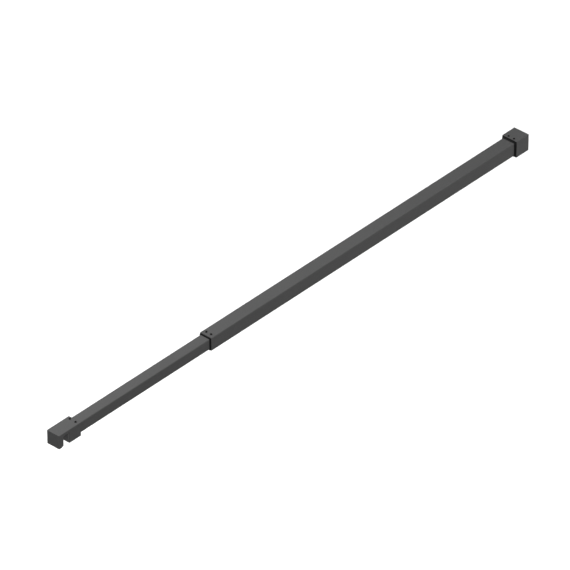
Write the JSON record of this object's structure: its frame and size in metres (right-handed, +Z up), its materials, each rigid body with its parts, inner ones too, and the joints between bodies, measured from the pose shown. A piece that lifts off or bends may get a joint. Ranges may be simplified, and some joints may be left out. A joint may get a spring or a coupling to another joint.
{
  "type": "telescopic security bar",
  "caption": "Square telescopic bracing bar: wall bracket, outer tube, sliding inner tube and a slotted clamp for a panel edge, locked by grub screws.",
  "frame": {"origin": "centre of the wall bracket's flat wall face", "axes": "+X out of the wall face into the wall, so the bar runs along -X; +Z up, away from the slot's open side; -Y front"},
  "size_m": [0.8955, 0.025, 0.0256],
  "materials": {
    "powder_coat": "fine-textured matt dark grey powder coat",
    "black_plastic": "moulded black plastic",
    "black_rubber": "matt black rubber",
    "black_steel": "blackened screw steel"
  },
  "bodies": {
    "wall_side": {"wall_bracket": "powder_coat", "bracket_seal": "black_rubber", "outer_tube": "powder_coat", "mouth_collar": "black_plastic"},
    "panel_side": {"inner_tube": "powder_coat", "inner_glide": "black_plastic", "panel_clamp": "powder_coat", "jaw_pad": "black_rubber", "ceiling_pad": "black_rubber"},
    "pressure_plate": {"pressure_plate": "powder_coat"},
    "clamp_screw": {"clamp_screw": "black_steel"},
    "bracket_screw_front": {"bracket_screw_front": "black_steel"},
    "bracket_screw_back": {"bracket_screw_back": "black_steel"},
    "mouth_screw_front": {"mouth_screw_front": "black_steel"},
    "mouth_screw_back": {"mouth_screw_back": "black_steel"},
    "clamp_lock_screw_front": {"clamp_lock_screw_front": "black_steel"},
    "clamp_lock_screw_back": {"clamp_lock_screw_back": "black_steel"}
  },
  "joints": [
    {"name": "telescope", "type": "slide", "parent": "wall_side", "child": "panel_side", "axis": [-1, 0, 0], "range_m": [-0.2383, 0.3047]},
    {"name": "plate_press", "type": "slide", "parent": "panel_side", "child": "pressure_plate", "axis": [-1, 0, 0], "range_m": [0, 0.0022]},
    {"name": "clamp_screw_advance", "type": "slide", "parent": "panel_side", "child": "clamp_screw", "axis": [-1, 0, 0], "range_m": [0, 0.0022]},
    {"name": "bracket_screw_front_out", "type": "slide", "parent": "wall_side", "child": "bracket_screw_front", "axis": [0, 0, 1], "range_m": [0, 0.0015]},
    {"name": "bracket_screw_back_out", "type": "slide", "parent": "wall_side", "child": "bracket_screw_back", "axis": [0, 0, 1], "range_m": [0, 0.0015]},
    {"name": "mouth_screw_front_out", "type": "slide", "parent": "wall_side", "child": "mouth_screw_front", "axis": [0, 0, 1], "range_m": [0, 0.0015]},
    {"name": "mouth_screw_back_out", "type": "slide", "parent": "wall_side", "child": "mouth_screw_back", "axis": [0, 0, 1], "range_m": [0, 0.0015]},
    {"name": "clamp_lock_screw_front_out", "type": "slide", "parent": "panel_side", "child": "clamp_lock_screw_front", "axis": [0, 0, 1], "range_m": [0, 0.0015]},
    {"name": "clamp_lock_screw_back_out", "type": "slide", "parent": "panel_side", "child": "clamp_lock_screw_back", "axis": [0, 0, 1], "range_m": [0, 0.0015]}
  ],
  "couplings": [
    {"joint": "clamp_screw_advance", "follows": "plate_press", "ratio": 1}
  ]
}
